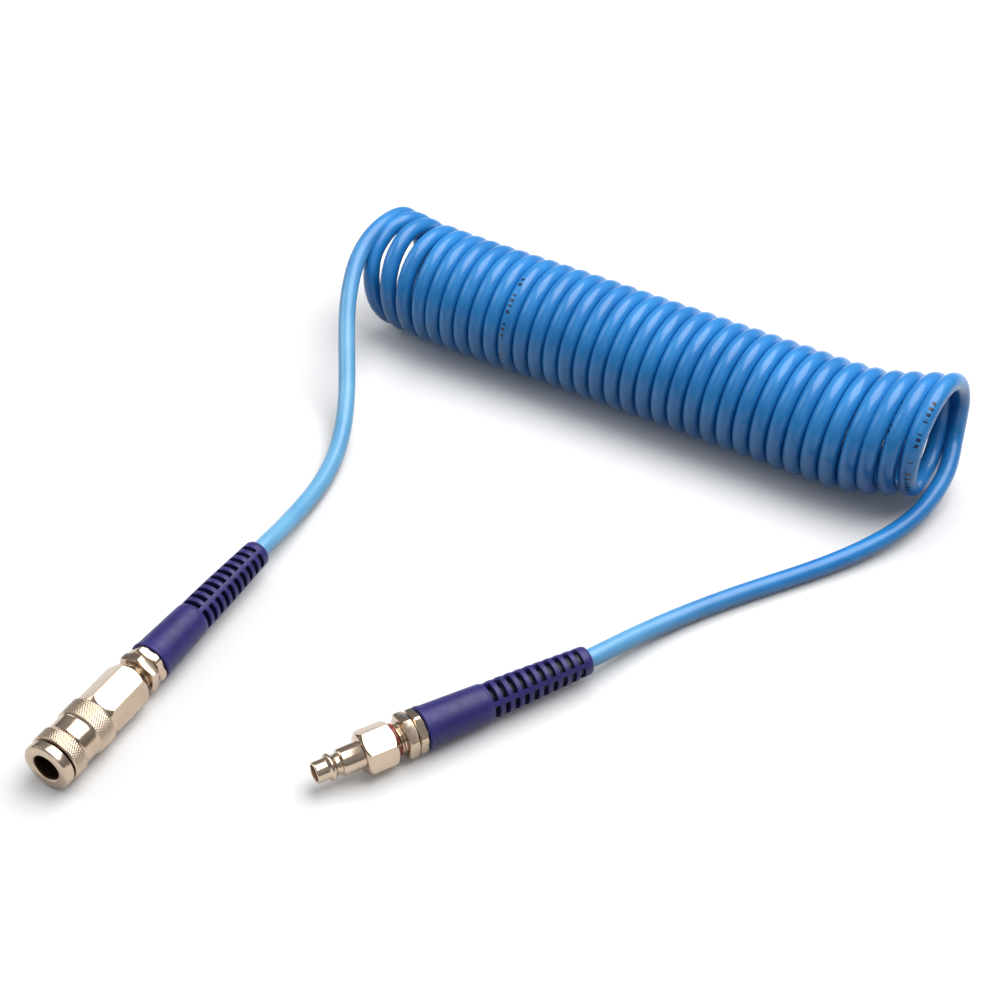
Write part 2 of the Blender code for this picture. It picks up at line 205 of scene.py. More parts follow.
# ---- materials --------------------------------------------------------------------------------
class Nodes:
    """Short names for making a material's nodes."""

    def __init__(self, name):
        self.mat = bpy.data.materials.new(name)
        self.mat.use_nodes = True
        self.tree = self.mat.node_tree
        self.shader = self.tree.nodes["Principled BSDF"]

    def add(self, kind, **values):
        node = self.tree.nodes.new(kind)
        for key, value in values.items():
            setattr(node, key, value)
        return node

    def join(self, source, out, target, into):
        self.tree.links.new(source.outputs[out], target.inputs[into])

    def noise(self, scale, detail=4.0, coords=None, rough=0.55):
        node = self.add("ShaderNodeTexNoise")
        node.inputs["Scale"].default_value = scale
        node.inputs["Detail"].default_value = detail
        node.inputs["Roughness"].default_value = rough
        if coords is not None:
            self.tree.links.new(coords, node.inputs["Vector"])
        return node

    def ramp(self, source, out, stops):
        node = self.add("ShaderNodeValToRGB")
        while len(node.color_ramp.elements) < len(stops):
            node.color_ramp.elements.new(0.5)
        for element, (place, colour) in zip(node.color_ramp.elements, stops):
            element.position = place
            element.color = (*colour, 1.0) if len(colour) == 3 else colour
        self.join(source, out, node, "Fac")
        return node

    def spread(self, source, out, low, high, into):
        """Drive one of the shader's inputs from low to high over a noise's usual range."""
        node = self.add("ShaderNodeMapRange")
        for key, value in (("From Min", 0.3), ("From Max", 0.7), ("To Min", low), ("To Max", high)):
            node.inputs[key].default_value = value
        self.join(source, out, node, "Value")
        self.join(node, "Result", self.shader, into)

    def math(self, operation, *values):
        node = self.add("ShaderNodeMath", operation=operation)
        for i, value in enumerate(values):
            if isinstance(value, (int, float)):
                node.inputs[i].default_value = value
            else:
                self.tree.links.new(value, node.inputs[i])
        return node.outputs[0]

    def blend(self, source, out, first, second):
        node = self.add("ShaderNodeMix", data_type="RGBA")
        self.join(source, out, node, 0)
        self.tree.links.new(first, node.inputs[6])
        self.tree.links.new(second, node.inputs[7])
        return node.outputs[2]

    def bump(self, source, out, strength, distance, normal=None):
        node = self.add("ShaderNodeBump")
        node.inputs["Strength"].default_value = strength
        node.inputs["Distance"].default_value = distance
        self.join(source, out, node, "Height")
        if normal is not None:
            self.join(normal, "Normal", node, "Normal")
        self.join(node, "Normal", self.shader, "Normal")
        return node


def set_shader(n, **values):
    for key, value in values.items():
        n.shader.inputs[key.replace("_", " ")].default_value = value


DASH_PITCH, DASH_SHARE = 3.1, 0.55           # printed dashes: millimetres, and the part inked
INK = (0.003, 0.012, 0.05, 1.0)


def hose_material(name):
    """Clear blue polyurethane.

    The mesh attributes pale, ink, along and round drive it: pale is 1 on the tails, which get a
    lighter blue painted in as light coming through the tube; ink is 1 on the printed stretches, and
    along and round place the dashes in millimetres.
    """
    n = Nodes(name)
    coords = n.add("ShaderNodeTexCoord").outputs["Object"]
    cloud = n.noise(38.0, 3.0, coords)
    deep = n.ramp(cloud, "Fac", [(0.3, (0.010, 0.178, 0.500)), (0.7, (0.020, 0.245, 0.620))])
    # painted light: a lighter blue for the tails, standing in for light that passes through the tube
    light = n.ramp(cloud, "Fac", [(0.3, (0.110, 0.350, 0.600)), (0.7, (0.160, 0.430, 0.680))])
    painted_tail_light = n.add("ShaderNodeAttribute", attribute_name="painted_tail_light")
    mix = n.blend(painted_tail_light, "Fac", deep.outputs["Color"], light.outputs["Color"])
    ink = n.add("ShaderNodeAttribute", attribute_name="ink")
    along = n.add("ShaderNodeAttribute", attribute_name="along")
    across = n.add("ShaderNodeAttribute", attribute_name="round")
    phase = n.math("FRACT", n.math("DIVIDE", along.outputs["Fac"], DASH_PITCH))
    dash = n.math("LESS_THAN", phase, DASH_SHARE)
    gaps = n.add("ShaderNodeTexNoise", noise_dimensions="1D")
    n.tree.links.new(n.math("MULTIPLY", along.outputs["Fac"], 0.03), gaps.inputs["W"])
    dash = n.math("MULTIPLY", dash, n.math("GREATER_THAN", gaps.outputs["Fac"], 0.47))
    thick = n.noise(420.0, 2.0, coords)
    edge = n.math("MULTIPLY", thick.outputs["Fac"], 2.5)
    band = n.math("LESS_THAN", across.outputs["Fac"], edge)
    mask = n.math("MULTIPLY", n.math("MULTIPLY", dash, band), ink.outputs["Fac"])
    dark = n.add("ShaderNodeMix", data_type="RGBA")
    n.tree.links.new(mask, dark.inputs[0])
    n.tree.links.new(mix, dark.inputs[6])
    dark.inputs[7].default_value = INK
    n.tree.links.new(dark.outputs[2], n.shader.inputs["Base Color"])
    haze = n.noise(160.0, 5.0, coords)
    n.spread(haze, "Fac", 0.34, 0.46, "Roughness")
    fine = n.noise(900.0, 3.0, coords)
    wavy = n.noise(70.0, 2.0, coords)
    first = n.bump(wavy, "Fac", 0.10, 0.0006)
    n.bump(fine, "Fac", 0.03, 0.0001, first)
    set_shader(n, IOR=1.5, Subsurface_Weight=0.06, Subsurface_Scale=0.004, Coat_Weight=0.45,
               Coat_Roughness=0.14, Specular_IOR_Level=0.38)
    return n.mat


def sleeve_material():
    """Moulded indigo plastic; the attribute pocket is 1 on the floors of the slots, which are painted
    near-black as shade.
    """
    n = Nodes("sleeve_indigo_moulded")
    coords = n.add("ShaderNodeTexCoord").outputs["Object"]
    cloud = n.noise(60.0, 4.0, coords)
    tone = n.ramp(cloud, "Fac", [(0.3, (0.013, 0.009, 0.105)), (0.7, (0.024, 0.018, 0.160))])
    # painted shade: the slot floors get a near-black colour for the shade down in the slots
    floor = n.ramp(cloud, "Fac", [(0.3, (0.001, 0.001, 0.008)), (0.7, (0.003, 0.002, 0.016))])
    slot_floor_shade = n.add("ShaderNodeAttribute", attribute_name="slot_floor_shade")
    mix = n.blend(slot_floor_shade, "Fac", tone.outputs["Color"], floor.outputs["Color"])
    n.tree.links.new(mix, n.shader.inputs["Base Color"])
    scuff = n.noise(220.0, 6.0, coords)
    n.spread(scuff, "Fac", 0.38, 0.54, "Roughness")
    grain = n.noise(2600.0, 3.0, coords)
    n.bump(grain, "Fac", 0.22, 0.0002)
    set_shader(n, Sheen_Weight=0.06, Sheen_Roughness=0.5, Specular_IOR_Level=0.45)
    n.shader.inputs["Sheen Tint"].default_value = (0.55, 0.5, 1.0, 1.0)
    return n.mat


def metal_material(name, dark, light, low, high, grain_scale=(60, 60, 900), bump=0.05):
    """Plated or bare metal with turning marks round the axis, smudges and a few scratches."""
    n = Nodes(name)
    coords = n.add("ShaderNodeTexCoord").outputs["Object"]
    cloud = n.noise(75.0, 4.0, coords)
    tone = n.ramp(cloud, "Fac", [(0.25, dark), (0.75, light)])
    n.join(tone, "Color", n.shader, "Base Color")
    smudge = n.noise(190.0, 6.0, coords, 0.65)
    n.spread(smudge, "Fac", low, high, "Roughness")
    stretch = n.add("ShaderNodeMapping")
    stretch.inputs["Scale"].default_value = grain_scale
    n.tree.links.new(coords, stretch.inputs["Vector"])
    marks = n.noise(1.0, 4.0, stretch.outputs["Vector"])
    first = n.bump(marks, "Fac", bump, 0.0002)
    pits = n.noise(1500.0, 2.0, coords)
    n.bump(pits, "Fac", bump * 0.5, 0.0001, first)
    set_shader(n, Metallic=1.0)
    return n.mat


def rubber_material(name, dark, light, low=0.5, high=0.75):
    n = Nodes(name)
    coords = n.add("ShaderNodeTexCoord").outputs["Object"]
    cloud = n.noise(400.0, 4.0, coords)
    tone = n.ramp(cloud, "Fac", [(0.3, dark), (0.7, light)])
    n.join(tone, "Color", n.shader, "Base Color")
    n.spread(cloud, "Fac", low, high, "Roughness")
    n.bump(n.noise(1800.0, 3.0, coords), "Fac", 0.3, 0.0002)
    return n.mat


MATS = {
    "hose": hose_material("hose_polyurethane"),
    "sleeve": sleeve_material(),
    "nickel": metal_material("nickel_plate", (0.50, 0.385, 0.285), (0.64, 0.52, 0.405), 0.12, 0.22),
    "knurl": metal_material("nickel_knurled", (0.50, 0.39, 0.28), (0.64, 0.52, 0.40), 0.24, 0.36),
    # painted shade: a dark brown metal for the socket's inside, standing in for the shade in the bore
    "bore": metal_material("socket_bore", (0.05, 0.03, 0.018), (0.10, 0.06, 0.035), 0.4, 0.6),
    "brass": metal_material("bare_brass", (0.55, 0.36, 0.12), (0.72, 0.50, 0.20), 0.28, 0.45),
    "steel": metal_material("ball_steel", (0.48, 0.48, 0.50), (0.62, 0.62, 0.64), 0.12, 0.22),
    "spring": metal_material("spring_wire", (0.30, 0.30, 0.31), (0.46, 0.46, 0.47), 0.3, 0.45),
    "rubber": rubber_material("seal_nitrile", (0.008, 0.008, 0.009), (0.02, 0.02, 0.022)),
    "sealant": rubber_material("thread_sealant_red", (0.17, 0.012, 0.006), (0.34, 0.040, 0.018),
                               0.3, 0.5),
}


# ---- hose -------------------------------------------------------------------------------------
TURNS = 34.5
COIL_MEAN_R = 30.4
# turn number and position along X; the loose turns at both ends are spelled out
TURN_AT = [0.08, 0.25, 0.50, 0.60, 0.65, 0.70, 0.75, 0.80, 0.87, 0.95, 1.00, 1.06, 1.15, 1.35, 1.60,
           1.70, 1.75, 1.80, 1.90, 1.95, 2.05, 2.30, 2.60, 2.70, 2.80, 2.90, 3.00, 3.30, 3.60, 3.75,
           4.75, 9.75, 17.75, 25.75, 29.75, 31.45, 31.75, 32.25, 32.45, 32.75, 33.25, 33.45, 33.75,
           34.00, 34.25, 34.50]
TURN_X = [-150.0, -146.5, -139.0, -138.5, -140.0, -142.6, -144.5, -146.0, -147.6, -146.6, -143.6,
          -139.8, -137.0, -132.0, -128.5, -129.3, -130.3, -131.3, -132.3, -132.3, -130.0, -123.5,
          -118.0, -118.4, -118.9, -118.4, -116.4, -111.0, -107.5, -107.0, -97.2, -46.6, 34.5, 116.8,
          158.9, 177.6, 180.1, 186.0, 189.0, 191.0, 197.4, 200.9, 202.0, 203.7, 206.6, 210.2]
# how far the far side of a turn leans towards +X
LEAN_AT, LEAN_X = [0.0, 8.0, 20.0, 35.0], [0.0, 0.0, 2.7, 2.7]
# the coil's axis in Y, and its lift off the floor, along X
AXIS_X = [-170.0, -121.9, -73.8, -25.6, 22.5, 70.6, 118.8, 166.9, 215.0]
AXIS_Y = [138.2, 124.5, 121.5, 120.4, 118.4, 116.4, 114.4, 112.1, 118.4]
LIFT_X = [-170.0, -60.0, 60.0, 130.0, 160.0, 190.0, 215.0]
LIFT_Z = [0.0, 0.0, 0.0, 0.0, 0.9, 6.8, 12.0]
# printed stretches: from turn, to turn, and degrees round the tube towards -X
PRINT = [(9.66, 9.97, 14.0), (32.72, 32.96, 62.0), (33.64, 33.95, -20.0)]
POINTS_PER_TURN = 40
HOSE_SIDES = 20
ROUTE_STEP = 4.0                             # between points along the tails
JOIN_TURNS, END_TURNS = 0.06, 0.14           # overlap at a join, and where the wound part stops
EASE_PASSES, EASE_MARGIN, PINNED = 8, 6, 8
DIP_DEPTH, DIP_TURN, DIP_WIDTH = 2.0, 0.93, 0.07
THICKER = 0.045                              # share added where the last turns stand apart


def through(xs, ys, x):
    """A smooth line through the knots that doesn't overshoot level stretches."""
    xs, ys = np.asarray(xs, float), np.asarray(ys, float)
    slope = np.diff(ys) / np.diff(xs)
    tangent = np.empty_like(ys)
    tangent[0], tangent[-1] = slope[0], slope[-1]
    for i in range(1, len(ys) - 1):
        a, b = slope[i - 1], slope[i]
        tangent[i] = 0.0 if a * b <= 0 else 2 * a * b / (a + b)
    i = int(np.clip(np.searchsorted(xs, x) - 1, 0, len(xs) - 2))
    h = xs[i + 1] - xs[i]
    u = (x - xs[i]) / h
    return ((1 + 2 * u) * (1 - u) ** 2 * ys[i] + u * (1 - u) ** 2 * h * tangent[i]
            + u * u * (3 - 2 * u) * ys[i + 1] + u * u * (u - 1) * h * tangent[i + 1])


def coil_point(turn):
    angle = 2 * math.pi * turn
    x = through(TURN_AT, TURN_X, turn)
    dip = DIP_DEPTH * math.exp(-((turn - DIP_TURN) / DIP_WIDTH) ** 2)        # under the tail
    radius = COIL_MEAN_R - dip
    y = through(AXIS_X, AXIS_Y, x) + radius * math.sin(angle)
    z = 5.0 + COIL_MEAN_R + through(LIFT_X, LIFT_Z, x) + radius * math.cos(angle)
    x += through(LEAN_AT, LEAN_X, turn) * (1 + math.sin(angle)) / 2
    return Vector((x, y, z)) + SHIFT


def catmull(points, step):
    points = [Vector(p) for p in points]
    padded = [2 * points[0] - points[1]] + points + [2 * points[-1] - points[-2]]
    route = []
    for a, b, c, d in zip(padded, padded[1:], padded[2:], padded[3:]):
        count = max(1, round((c - b).length / step))
        for i in range(count):
            u = i / count
            route.append(0.5 * (2 * b + (c - a) * u + (2 * a - 5 * b + 4 * c - d) * u ** 2
                                + (3 * b - a - 3 * c + d) * u ** 3))
    return route + [points[-1]]


def on_axis(matrix, t):
    return (matrix @ Vector((0, 0, t * MM))) / MM


def end_points(matrix, stem_t):
    """Points on a fitting's axis, from its spigot out to just past the sleeve's mouth."""
    mouth = stem_t + BEND_START + BEND_LEN
    inside = SPIGOT_LEN + GAP
    points = [on_axis(matrix, stem_t + inside + k * (mouth - 12 - stem_t - inside) / 4)
              for k in range(5)]
    return points + [on_axis(matrix, mouth + 2)]


def hose_route():
    """Centre line from the coupler's spigot round the coil to the plug's spigot.

    Also gives each point's turn number, which is -1 on the tails.
    """
    low, high = TURN_AT[0], TURNS - END_TURNS
    tail = [Vector(p) for p in reversed(COUPLER_TAIL)]
    start = low + JOIN_TURNS
    lead = catmull(end_points(COUPLER, COUPLER_STEM_T) + tail + [coil_point(low), coil_point(start)],
                   ROUTE_STEP)[:-1]
    count = round((high - low - JOIN_TURNS) * POINTS_PER_TURN)
    coil = [coil_point(start + (high - low - JOIN_TURNS) * i / count) for i in range(count + 1)]
    tail = [Vector(p) for p in PLUG_TAIL]
    out = catmull([coil_point(high - JOIN_TURNS), coil_point(high)] + tail
                  + end_points(PLUG, PLUG_STEM_T)[::-1], ROUTE_STEP)[3:]
    points = np.array([tuple(p) for p in lead + coil + out])
    turn = np.full(len(points), -1.0)
    turn[len(lead):len(lead) + len(coil)] = np.linspace(start, high, len(coil))
    keep = points.copy()
    ease = np.ones(len(points) - 2)                       # ease the joins, not the wound turns
    ease[len(lead) + EASE_MARGIN:len(lead) + len(coil) - EASE_MARGIN] = 0.0
    for _ in range(EASE_PASSES):
        mid = (points[:-2] + points[2:]) / 2
        points[1:-1] += 0.5 * ease[:, None] * (mid - points[1:-1])
    points[:PINNED], points[-PINNED:] = keep[:PINNED], keep[-PINNED:]
    return points, turn


def sweep(name, points, radius, sides, mats):
    """A round tube along the points, with frames carried along it without twist."""
    tangent = np.gradient(points, axis=0)
    tangent /= np.linalg.norm(tangent, axis=1)[:, None]
    normal = np.cross(tangent[0], (0, 0, 1.0))
    normal /= np.linalg.norm(normal)
    angle = around(sides)
    rows = []
    for i, (p, t) in enumerate(zip(points, tangent)):
        normal = normal - t * normal.dot(t)
        normal /= np.linalg.norm(normal)
        side = np.cross(t, normal)
        rows.append(p + radius[i] * (np.cos(angle)[:, None] * normal
                                     + np.sin(angle)[:, None] * side))
    return grid(name, rows, mats, cap=True), rows


def smoothstep(values, low, high):
    u = np.clip((values - low) / (high - low), 0, 1)
    return u * u * (3 - 2 * u)


def put_attribute(obj, name, values):
    data = obj.data.attributes.new(name, "FLOAT", "POINT").data
    data.foreach_set("value", np.asarray(values, np.float32).ravel())


def make_hose():
    points, turn = hose_route()
    # thicker where the last turns stand apart, so that they still touch
    thick = HOSE_R * (1 + THICKER * smoothstep(turn, 24, 30) * (1 - smoothstep(turn, 33.9, TURNS)))
    thick[turn < 0] = HOSE_R
    hose, rings = sweep("hose", points, thick, HOSE_SIDES, MATS["hose"])
    smooth(hose, 50)
    step = np.r_[0, np.cumsum(np.linalg.norm(np.diff(points, axis=0), axis=1))]
    first, last = np.flatnonzero(turn >= 0)[[0, -1]]
    # painted light: the tails turn a lighter blue away from the coil, for light passing through them
    left = smoothstep(step[first] - step, 15, 130)
    right = 0.7 * smoothstep(step - step[last], 130, 270)
    tail_light_share = np.maximum(left, right)
    put_attribute(hose, "painted_tail_light", np.repeat(tail_light_share, HOSE_SIDES))
    put_attribute(hose, "along", np.repeat(step, HOSE_SIDES))
    ink, away = np.zeros((len(points), HOSE_SIDES)), np.full((len(points), HOSE_SIDES), 9.0)
    for low, high, offset in PRINT:
        for i in np.flatnonzero((turn > low) & (turn < high)):
            x, y, z = points[i] - np.array(SHIFT)
            out = np.array([0, y - through(AXIS_X, AXIS_Y, x),
                            z - HOSE_R - COIL_MEAN_R - through(LIFT_X, LIFT_Z, x)])
            out /= np.linalg.norm(out)
            spoke = (rings[i] - points[i]) / HOSE_R
            angle = np.arctan2(-spoke[:, 0], spoke @ out) - math.radians(offset)
            away[i] = np.abs((angle + math.pi) % (2 * math.pi) - math.pi) * HOSE_R
            ink[i] = 1.0
    put_attribute(hose, "ink", ink)
    put_attribute(hose, "round", away)
    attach(hose, ROOT)
    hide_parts("hose_coil", "hose_tail_coupler", "hose_tail_plug")


# ---- bend sleeves -----------------------------------------------------------------------------
SLOT_COUNT, SLOT_FIRST, SLOT_PITCH, SLOT_WIDTH, SLOT_FLOOR_R = 10, 38.0, 5.5, 2.9, 5.9
RIB_WIDTH, RIB_AT_R = 2.4, 8.8               # width, and the radius it is measured at
SLEEVE_PROFILE = [(0, 11.0), (0.25, 11.25), (0.7, 11.4), (4, 10.85), (24, 10.2), (32, 9.9),
                  (34.8, 9.75), (35.6, 9.45), (36.2, 9.3), (44, 9.3), (59, 8.9), (74, 8.3),
                  (89.2, 7.65), (92.4, 7.5), (93.4, 7.3), (94.0, 6.95), (BEND_LEN, 6.4)]


def make_bend_sleeve(name, matrix, stem_t, rib_turn):
    """Tapered sleeve; its slots are real pockets with rounded rims."""
    edge = 0.28
    stops = set(np.round(np.linspace(0, BEND_LEN, 60), 3)) | {t for t, _ in SLEEVE_PROFILE}
    for i in range(SLOT_COUNT):
        middle = SLOT_FIRST + i * SLOT_PITCH
        low, high = middle - SLOT_WIDTH / 2, middle + SLOT_WIDTH / 2
        stops = {t for t in stops if not low - edge < t < high + edge}
        stops |= {low - edge, low - edge * 0.3, low, low + edge * 0.25, middle,
                  high - edge * 0.25, high, high + edge * 0.3, high + edge}
    stops = sorted(stops)
    per_side = 16
    half = RIB_WIDTH / 2 / RIB_AT_R                       # half of a rib, as an angle
    angles = []
    for rib in range(4):
        base = math.radians(rib_turn + 90 * rib)
        cuts = [-half, -half * 0.35, half * 0.35, half, half + 0.02, half + 0.035]
        far = math.pi / 2 - half
        cuts += list(np.linspace(half + 0.07, far - 0.07, per_side)) + [far - 0.035, far - 0.02]
        angles += [base + c for c in cuts]
    angles = np.array(angles)
    offset = (angles - math.radians(rib_turn) + math.pi / 4) % (math.pi / 2) - math.pi / 4
    lateral = np.abs(offset)
    rows, slot_floor_shade = [], []
    times = [t for t, _ in SLEEVE_PROFILE]
    radii = [r for _, r in SLEEVE_PROFILE]
    for t in stops:
        skin = np.interp(t, times, radii)
        slot = (t - SLOT_FIRST) / SLOT_PITCH
        nearest = SLOT_FIRST + SLOT_PITCH * min(max(round(slot), 0), SLOT_COUNT - 1)
        inside = SLOT_WIDTH / 2 - abs(t - nearest)
        side = (lateral - half) * RIB_AT_R
        depth = np.minimum(inside, side)
        # slot floors; the material paints them near-black as shade
        slot_floor_shade.append(depth > 0.02)
        radius = np.where(depth > 0.02, SLOT_FLOOR_R,
                          skin - 0.12 * np.clip((depth + edge) / edge, 0, 1) ** 2)
        rows.append(np.stack([radius * np.cos(angles), radius * np.sin(angles),
                              np.full(len(angles), t)], 1))
    socket = SPIGOT_LEN + 0.9 - BEND_START
    for t, r in reversed([(0, 8.0), (socket, 7.9), (socket, 5.35), (BEND_LEN - 0.3, 5.35),
                          (BEND_LEN, 5.6)]):
        rows.append(np.stack([r * np.cos(angles), r * np.sin(angles), np.full(len(angles), t)], 1))
    place = matrix @ Matrix.Translation((0, 0, (stem_t + BEND_START) * MM))
    obj = grid(name, rows, MATS["sleeve"], place, wrap_rows=True)
    smooth(obj, 40)
    slot_floor_shade += [np.zeros(len(angles))] * (len(rows) - len(slot_floor_shade))
    put_attribute(obj, "slot_floor_shade", slot_floor_shade)
    return obj


# ---- metal pieces -----------------------------------------------------------------------------
def thread_profile(name, matrix, start, end, crest, root, pitch, inner, mat):
    """A real single-start thread on a ring, as a helical surface."""
    steps = 72
    angle = around(steps)
    rows = []
    count = int((end - start) / pitch * 10)
    for i in range(count + 1):
        t = start + (end - start) * i / count
        phase = (t / pitch - angle / (2 * math.pi)) % 1.0
        wave = np.clip(np.abs(phase - 0.5) * 2.6 - 0.3, 0, 1)
        fade = min(1.0, (t - start) / 0.5, (end - t) / 0.5)
        radius = root + (crest - root) * wave * max(fade, 0)
        rows.append(np.stack([radius * np.cos(angle), radius * np.sin(angle),
                              np.full(steps, t)], 1))
    for t in (end, start):
        rows.append(np.stack([inner * np.cos(angle), inner * np.sin(angle),
                              np.full(steps, t)], 1))
    obj = grid(name, rows, mat, matrix, wrap_rows=True)
    smooth(obj, 45)
    return obj


def hex_piece(name, profile, matrix, across_flats, turn, mat):
    """A turned piece cut to a hexagon, so its flats meet its chamfers in curves."""
    obj = lathe(name, profile, mat, matrix)
    boolean(obj, [hexagon(matrix, across_flats, turn, -60, 160)], "INTERSECT")
    soften_edges(obj)
    return obj


def make_hose_end(end, matrix, stem_t, hex_turn, nut_turn, rib_turn):
    place = matrix @ Matrix.Translation((0, 0, stem_t * MM))
    hex_end = STEM_HEX_LEN
    outer = [(-15.5, 7.2), (-14.9, 7.4), (0.0, 7.4), (0.0, 9.9), (0.9, 11.65), (hex_end - 0.9, 11.65),
             (hex_end, 9.9), (hex_end, 6.9), (hex_end + 3.4, 6.9), (hex_end + 3.4, 3.1),
             (SPIGOT_LEN - 1.0, 3.1), (SPIGOT_LEN, 2.7)]
    inner = [(-15.5, 6.0), (-5.0, 6.0), (-2.5, 2.3), (SPIGOT_LEN, 2.3)]
    stem = hex_piece("stem_" + end, loop(outer, inner), place, END_HEX_AF, hex_turn, MATS["nickel"])
    ride(stem, ROOT, "nickel", "hose_stem_" + end)
    thread = thread_profile("thread_" + end, place, -15.0, -0.05, THREAD_R, 7.45, 1.337, 7.0,
                            MATS["nickel"])
    ride(thread, ROOT, "nickel")
    nut_start = hex_end + GAP
    nut_end = nut_start + NUT_HEX_LEN
    skirt_end = SPIGOT_LEN + 0.3
    outer = [(nut_start, 9.9), (nut_start + 0.8, 11.3), (nut_end - 0.9, 11.3), (nut_end, 10.3),
             (nut_end, 7.6), (skirt_end - 0.4, 7.6), (skirt_end, 7.2)]
    inner = [(nut_start, 7.2), (nut_end - 0.8, 7.2), (nut_end - 0.8, 5.35), (skirt_end, 5.35)]
    nut = hex_piece("nut_" + end, loop(outer, inner), place, END_HEX_AF, nut_turn,
                    MATS["nickel"])
    ride(nut, ROOT, "nickel", "union_nut_" + end)
    sleeve = make_bend_sleeve("sleeve_" + end, matrix, stem_t, rib_turn)
    ride(sleeve, ROOT, "sleeve", "bend_sleeve_" + end)


def knurl_rows(start, end, radius, pitch, depth, steps):
    """Rows of a band of crossed diagonal knurling."""
    angle = around(steps)
    count = int((end - start) / 0.22)
    turns = round(2 * math.pi * radius / pitch)
    rows = []
    for i in range(count + 1):
        t = start + (end - start) * i / count
        lead = t * turns / radius * 0.62
        one = np.abs(((turns * angle + lead) / (2 * math.pi)) % 1.0 - 0.5) * 2
        two = np.abs(((turns * angle - lead) / (2 * math.pi)) % 1.0 - 0.5) * 2
        fade = np.clip(min(t - start, end - t) / 0.35, 0, 1)
        cut = depth * (0.80 * one + 0.20 * two) * fade
        rows.append((t, radius - cut))
    return angle, rows


VALLEY = 14.3, 25.2                          # the polished stretch between the two knurled bands
BALL_T = 11.3
BALL_ANGLES = [math.radians(30 + 60 * i) for i in range(6)]


def make_lock_sleeve():
    steps = 432
    angle, front = knurl_rows(7.0, 14.0, 13.55, 1.35, 0.36, steps)
    _, rear = knurl_rows(25.4, 35.5, 13.5, 1.35, 0.36, steps)
    plain = [(6.3, 12.6), (6.35, 12.95), (6.55, 13.3), (6.8, 13.45)]
    valley = [(14.3, 13.3), (14.9, 12.9), (15.4, 12.58), (15.7, 12.5), (16.2, 12.5), (24.0, 12.5),
              (24.4, 12.55), (24.7, 12.7), (25.1, 13.2)]
    tail = [(35.8, 13.4), (36.05, 13.25), (36.2, 13.05)]
    inner = [(36.2, 12.9), (33.2, 11.0), (18.0, 11.0), (18.0, 8.5), (12.5, 8.5), (6.4, 11.8)]
    rows = []
    for t, r in plain + front + valley + rear + tail + inner:
        radius = np.broadcast_to(r, (steps,))
        rows.append(np.stack([radius * np.cos(angle), radius * np.sin(angle),
                              np.full(steps, t)], 1))
    obj = grid("lock_sleeve_knurled", rows, [MATS["knurl"], MATS["nickel"]], COUPLER, wrap_rows=True)
    smooth(obj, 60)
    for poly in obj.data.polygons:
        if VALLEY[0] < poly.center.z / MM < VALLEY[1]:
            poly.material_index = 1
    ride(obj, "lock_sleeve", "nickel", "lock_sleeve")


def cylinder_tool(matrix, out, radius, near, far, t):
    angle = around(24)
    side = Vector((-out.y, out.x, 0))
    rows = []
    for d in (near, far):
        rows.append([tuple(out * d + side * radius * math.cos(a)
                           + Vector((0, 0, t + radius * math.sin(a)))) for a in angle])
    return grid("hole_tool", rows, [], matrix, cap=True)


def make_barrel():
    outer = [(0.0, 12.0), (0.25, 12.55), (0.8, 12.95), (1.3, 13.0), (4.9, 13.0), (5.3, 12.7),
             (5.3, 8.4), (36.0, 8.4)]
    inner = [(0.0, 8.1), (0.35, 7.45), (0.9, 7.1), (16.8, 7.1), (16.8, 5.6), (18.0, 5.6),
             (18.0, 7.3), (21.0, 7.3), (21.0, 5.6), (24.0, 5.6), (24.0, 6.9), (36.0, 6.9)]
    obj = lathe("barrel_turned", loop(outer, inner), [MATS["nickel"], MATS["bore"]], COUPLER, 120)
    tools = [cylinder_tool(COUPLER, Vector((math.cos(a), math.sin(a), 0)), 1.83, 6.0, 10.0, BALL_T)
             for a in BALL_ANGLES]
    boolean(obj, tools, "DIFFERENCE")
    soften_edges(obj, 0.12)
    for poly in obj.data.polygons:                        # inside the socket: painted shade, the dark bore metal
        if poly.center.z > 0.5 * MM and math.hypot(poly.center.x, poly.center.y) < 7.5 * MM:
            poly.material_index = 1
    ride(obj, ROOT, "nickel", "coupler_barrel")


def make_balls():
    for i, a in enumerate(BALL_ANGLES):
        mesh = bpy.data.meshes.new("ball")
        bm = bmesh.new()
        bmesh.ops.create_icosphere(bm, subdivisions=4, radius=1.69 * MM)
        bm.to_mesh(mesh)
        bm.free()
        centre = Matrix.Translation(Vector((7.15 * math.cos(a), 7.15 * math.sin(a), BALL_T)) * MM)
        obj = link("ball_%d" % (i + 1), mesh, MATS["steel"], COUPLER @ centre)
        smooth(obj, 60)
        ride(obj, "lock_ball_%d" % (i + 1), "steel", "lock_ball_%d" % (i + 1))


def make_coupler_body():
    outer = [(31.0, 10.4), (31.5, 10.9), (37.4, 10.9), (40.4, 13.0), (62.5, 13.0), (66.0, 10.0)]
    inner = [(31.0, 8.7), (37.6, 8.7), (37.6, 6.9), (44.0, 6.9), (44.0, 2.1), (46.5, 2.1),
             (46.5, 6.9), (51.0, 6.9), (51.0, 8.5), (65.3, 8.5), (66.0, 9.2)]
    obj = hex_piece("body_hexagon", loop(outer, inner), COUPLER, 22.2, -95.7, MATS["nickel"])
    ride(obj, ROOT, "nickel", "coupler_body")


